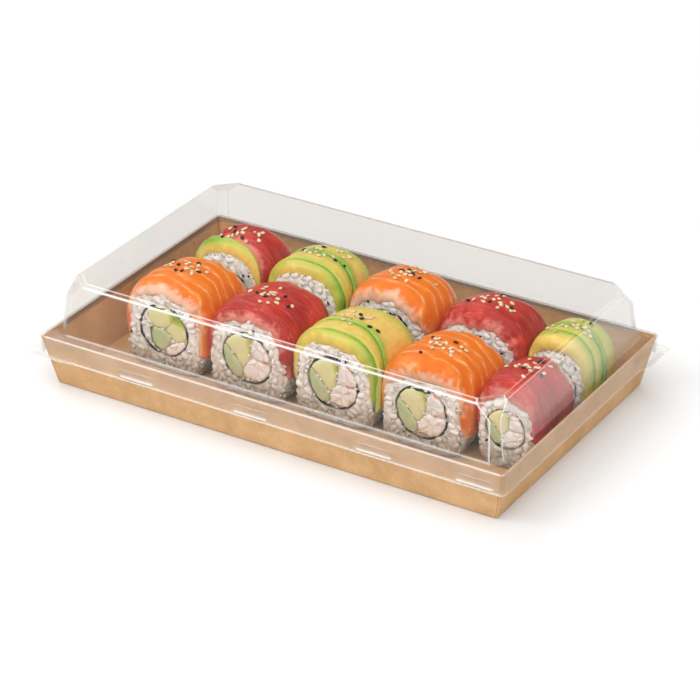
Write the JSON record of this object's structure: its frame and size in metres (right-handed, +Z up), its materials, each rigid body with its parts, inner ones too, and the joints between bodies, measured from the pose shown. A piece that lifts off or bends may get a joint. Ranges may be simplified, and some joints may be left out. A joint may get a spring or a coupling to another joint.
{
  "type": "takeaway sushi tray",
  "caption": "Shallow kraft-board takeaway tray under a clear clip-on lid, filled with two rows of rice rolls topped with salmon, tuna and avocado.",
  "frame": {"origin": "middle of the tray's underside, on the surface it stands on", "axes": "+X along the long side, -Y towards the front row of rolls, +Z up"},
  "size_m": [0.2378, 0.148, 0.0496],
  "materials": {
    "kraft_board": "uncoated brown kraft board, matt",
    "clear_sheet": "clear thermoformed plastic sheet, glossy",
    "salmon": "moist raw salmon",
    "tuna": "moist raw tuna",
    "avocado": "soft avocado flesh, satin",
    "rice": "cooked sushi rice, slightly moist",
    "nori": "moist seaweed sheet",
    "cucumber": "cut cucumber, moist",
    "crab": "shredded crab stick"
  },
  "bodies": {
    "root": {"back1_avocado_slice": "avocado", "back1_core": "nori", "back1_rice": "rice", "back1_topping": "tuna", "back2_core": "nori", "back2_rice": "rice", "back2_topping": "avocado", "back3_core": "nori", "back3_rice": "rice", "back3_topping": "salmon", "back4_core": "nori", "back4_rice": "rice", "back4_topping": "tuna", "back5_core": "nori", "back5_rice": "rice", "back5_topping": "avocado", "front1_avocado": "avocado", "front1_crab": "crab", "front1_cucumber_a": "cucumber", "front1_cucumber_b": "cucumber", "front1_nori": "nori", "front1_rice": "rice", "front1_topping": "salmon", "front2_avocado": "avocado", "front2_crab": "crab", "front2_cucumber": "cucumber", "front2_nori": "nori", "front2_rice": "rice", "front2_topping": "tuna", "front3_avocado": "avocado", "front3_crab": "crab", "front3_cucumber": "cucumber", "front3_nori": "nori", "front3_rice": "rice", "front3_topping": "avocado", "front4_avocado": "avocado", "front4_crab": "crab", "front4_cucumber": "cucumber", "front4_nori": "nori", "front4_rice": "rice", "front4_topping": "salmon", "front5_avocado": "avocado", "front5_crab": "crab", "front5_cucumber": "cucumber", "front5_nori": "nori", "front5_rice": "rice", "front5_topping": "tuna", "lid": "clear_sheet", "tray": "kraft_board"}
  },
  "joints": []
}
